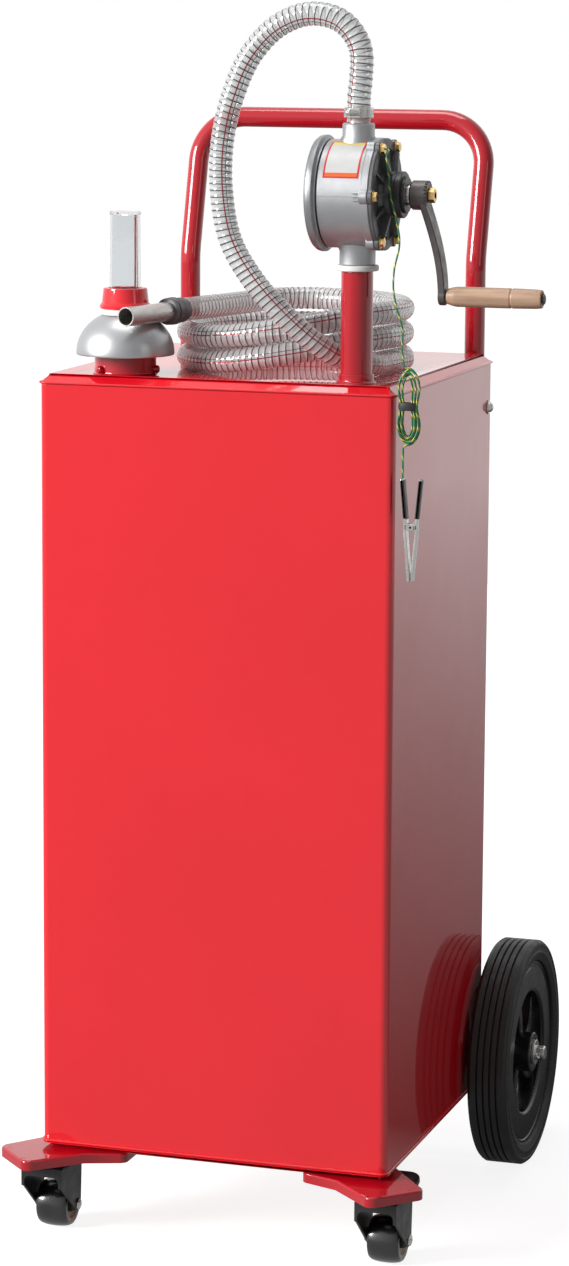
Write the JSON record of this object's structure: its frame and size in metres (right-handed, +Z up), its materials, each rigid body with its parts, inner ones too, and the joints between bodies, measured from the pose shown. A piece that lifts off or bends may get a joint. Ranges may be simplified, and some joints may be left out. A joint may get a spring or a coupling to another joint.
{
  "type": "wheeled fuel caddy",
  "caption": "Upright square steel fuel tank on two rear wheels and braked front casters, with a hand-cranked rotary pump, coiled clear hose, filler with sight gauge and push handle.",
  "frame": {"origin": "on the floor under the middle of the caddy's box, measured without the hose, the nozzle, the earth wire and its clip", "axes": "+X to the pump's side, the right of someone facing the front panel; +Y to the back, where the handle and large wheels are; +Z up"},
  "size_m": [0.5804, 0.5894, 1.2811],
  "materials": {
    "red_enamel": "gloss enamel",
    "cast_aluminium": "silver-painted casting",
    "dark_casting": "satin dark grey",
    "zinc_steel": "bright zinc plate",
    "brass": "satin",
    "turned_wood": "clear varnish",
    "black_rubber": "matte",
    "black_plastic": "satin",
    "silver_paint": "satin silver",
    "white_plastic": "satin",
    "clear_plastic": "clear gloss",
    "earth_wire": "satin"
  },
  "bodies": {
    "base": {"tank_shell": "red_enamel", "tank_top": "red_enamel", "tank_bottom": "red_enamel", "filler_neck": "red_enamel", "standpipe": "red_enamel", "handle": "red_enamel", "handle_saddle_left": "red_enamel", "handle_saddle_right": "red_enamel", "axle_bracket_left": "red_enamel", "axle_bracket_right": "red_enamel", "corner_bracket_left": "red_enamel", "corner_bracket_right": "red_enamel", "pump_body": "cast_aluminium", "rear_cover": "cast_aluminium", "front_cover": "dark_casting", "nozzle_collar": "dark_casting", "ring_nut": "zinc_steel", "hose_clamp": "zinc_steel", "nozzle_tube": "zinc_steel", "side_bolt_left": "zinc_steel", "side_bolt_right": "zinc_steel", "axle": "zinc_steel", "caster_plate_left": "zinc_steel", "caster_plate_right": "zinc_steel", "clip_fixed": "zinc_steel", "cover_bolt_1": "brass", "cover_bolt_2": "brass", "cover_bolt_3": "brass", "cover_bolt_4": "brass", "cover_bolt_5": "brass", "cover_bolt_6": "brass", "gland": "black_plastic", "suction_tube": "clear_plastic", "hose_riser": "clear_plastic", "hose_coil": "clear_plastic", "hose_lead": "clear_plastic", "wire_upper": "earth_wire", "wire_hank": "earth_wire", "wire_tail": "earth_wire"},
    "cap": {"cap_dome": "silver_paint", "gauge_base": "white_plastic", "gauge_collar": "red_enamel", "gauge_tube": "clear_plastic"},
    "gauge": {"gauge_rod": "turned_wood"},
    "crank": {"pump_rotor": "zinc_steel", "crank_arm": "dark_casting", "crank_nut": "brass", "grip_pin": "zinc_steel"},
    "grip": {"wooden_grip": "turned_wood"},
    "wheel_left": {"tyre_left": "black_rubber", "rim_left": "black_plastic"},
    "wheel_right": {"tyre_right": "black_rubber", "rim_right": "black_plastic"},
    "fork_left": {"caster_fork_left": "black_plastic"},
    "fork_right": {"caster_fork_right": "black_plastic"},
    "roller_left": {"caster_wheel_left": "black_rubber"},
    "roller_right": {"caster_wheel_right": "black_rubber"},
    "pedal_left": {"brake_pedal_left": "black_plastic"},
    "pedal_right": {"brake_pedal_right": "black_plastic"},
    "jaw": {"clip_jaw": "zinc_steel"}
  },
  "joints": [
    {"name": "cap_turn", "type": "hinge", "parent": "base", "child": "cap", "pos_m": [-0.1502, -0.19162, 0.926], "axis": [0, 0, 1], "range_deg": [0, 90]},
    {"name": "gauge_slide", "type": "slide", "parent": "cap", "child": "gauge", "axis": [0, 0, 1], "range_m": [-0.09, 0]},
    {"name": "crank_spin", "type": "hinge", "parent": "base", "child": "crank", "pos_m": [0.0978, -0.19962, 1.0936], "axis": [1, 0, 0], "continuous": true},
    {"name": "grip_spin", "type": "hinge", "parent": "crank", "child": "grip", "pos_m": [0.0978, -0.19962, 0.995], "axis": [1, 0, 0], "continuous": true},
    {"name": "wheel_spin_left", "type": "hinge", "parent": "base", "child": "wheel_left", "pos_m": [-0.2547, 0.16968, 0.125], "axis": [1, 0, 0], "continuous": true},
    {"name": "wheel_spin_right", "type": "hinge", "parent": "base", "child": "wheel_right", "pos_m": [0.1793, 0.16968, 0.125], "axis": [1, 0, 0], "continuous": true},
    {"name": "swivel_left", "type": "hinge", "parent": "base", "child": "fork_left", "pos_m": [-0.2197, -0.23862, 0.078], "axis": [0, 0, 1], "continuous": true},
    {"name": "roller_spin_left", "type": "hinge", "parent": "fork_left", "child": "roller_left", "pos_m": [-0.2197, -0.21062, 0.025], "axis": [1, 0, 0], "continuous": true},
    {"name": "brake_left", "type": "hinge", "parent": "fork_left", "child": "pedal_left", "pos_m": [-0.2197, -0.20462, 0.068], "axis": [-1, 0, 0], "range_deg": [0, 20]},
    {"name": "swivel_right", "type": "hinge", "parent": "base", "child": "fork_right", "pos_m": [0.1443, -0.23862, 0.078], "axis": [0, 0, 1], "continuous": true},
    {"name": "roller_spin_right", "type": "hinge", "parent": "fork_right", "child": "roller_right", "pos_m": [0.1443, -0.21062, 0.025], "axis": [1, 0, 0], "continuous": true},
    {"name": "brake_right", "type": "hinge", "parent": "fork_right", "child": "pedal_right", "pos_m": [0.1443, -0.20462, 0.068], "axis": [-1, 0, 0], "range_deg": [0, 20]},
    {"name": "jaw_open", "type": "hinge", "parent": "base", "child": "jaw", "pos_m": [0.1708, -0.24962, 0.771], "axis": [0, -1, 0], "range_deg": [0, 15], "stiffness_Nm_per_rad": 0.2, "springref_deg": -28.65}
  ]
}
